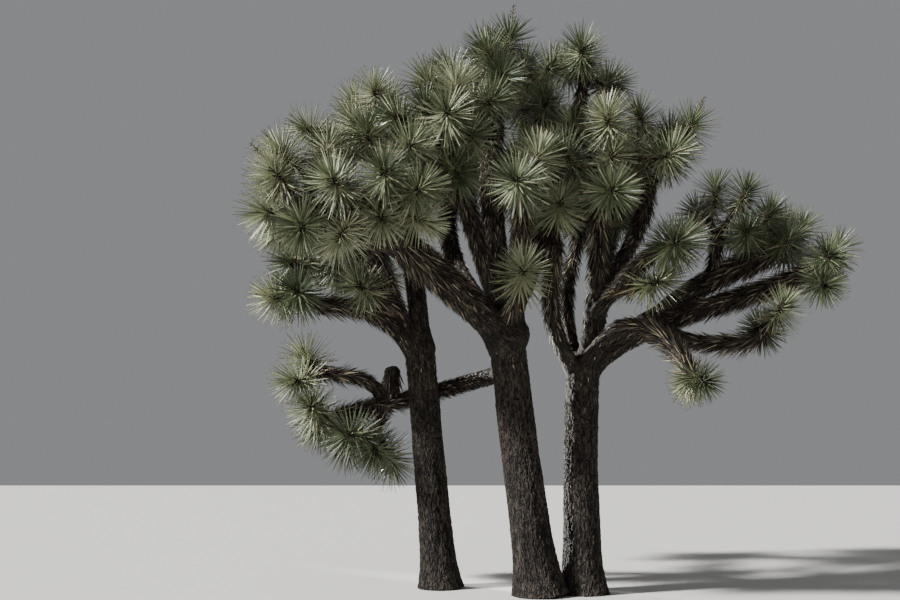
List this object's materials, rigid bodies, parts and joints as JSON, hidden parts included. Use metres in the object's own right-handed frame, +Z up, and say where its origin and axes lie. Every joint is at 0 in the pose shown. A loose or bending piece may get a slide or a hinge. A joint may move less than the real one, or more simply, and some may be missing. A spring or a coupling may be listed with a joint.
{
  "type": "joshua tree",
  "caption": "Whole joshua tree: a clump of bare stems that fork into shaggy boughs, with a round head of stiff dagger leaves on every twig.",
  "frame": {"origin": "centre of the flat cut under the middle stem, at ground level", "axes": "+Z up, +X to the right and +Y away from the viewer who stands where the picture was taken"},
  "size_m": [6.6718, 4.6667, 6.4129],
  "materials": {
    "bark": "rough, finely plated bark, grey-brown",
    "thatch": "matt, shaggy with dead leaves that point back down the bough",
    "leaves": "dull, slightly waxy dusty green"
  },
  "bodies": {
    "root": {"stem_middle": "bark", "stem_left": "bark", "stem_right": "bark", "left_arch_bough": "thatch", "left_upright_bough": "thatch", "left_leader": "thatch", "left_rear_bough": "thatch", "low_arm": "thatch", "low_arm_loop": "thatch", "low_arm_stub": "thatch", "broad_left_bough": "thatch", "near_left_bough": "thatch", "far_left_bough": "thatch", "centre_leader": "thatch", "centre_left_bough": "thatch", "centre_front_bough": "thatch", "centre_right_bough": "thatch", "top_right_bough": "thatch", "centre_rear_bough": "thatch", "rear_right_bough": "thatch", "right_inner_bough": "thatch", "right_thin_bough": "thatch", "right_leader": "thatch", "right_near_bough": "thatch", "right_slanting_bough": "thatch", "long_right_bough": "thatch", "long_right_fork": "thatch", "reaching_bough": "thatch", "hanging_right_bough": "thatch", "right_rear_bough": "thatch", "left_arch_rosettes": "leaves", "left_front_rosette": "leaves", "left_upright_rosettes": "leaves", "left_leader_rosettes": "leaves", "left_rear_rosettes": "leaves", "near_left_rosettes": "leaves", "far_left_rosettes": "leaves", "centre_top_rosettes": "leaves", "centre_left_rosettes": "leaves", "centre_front_rosettes": "leaves", "centre_right_rosettes": "leaves", "top_right_rosettes": "leaves", "centre_rear_rosettes": "leaves", "rear_right_rosettes": "leaves", "low_front_rosettes": "leaves", "right_inner_rosettes": "leaves", "right_thin_rosettes": "leaves", "right_leader_rosettes": "leaves", "right_near_rosettes": "leaves", "right_slanting_rosettes": "leaves", "right_lower_rosette": "leaves", "long_right_rosettes": "leaves", "right_fork_rosettes": "leaves", "right_fork_upright": "leaves", "reaching_rosettes": "leaves", "hanging_right_rosettes": "leaves", "right_rear_rosettes": "leaves", "low_arm_rosettes": "leaves", "low_loop_rosettes": "leaves", "low_hanging_rosettes": "leaves"}
  },
  "joints": []
}
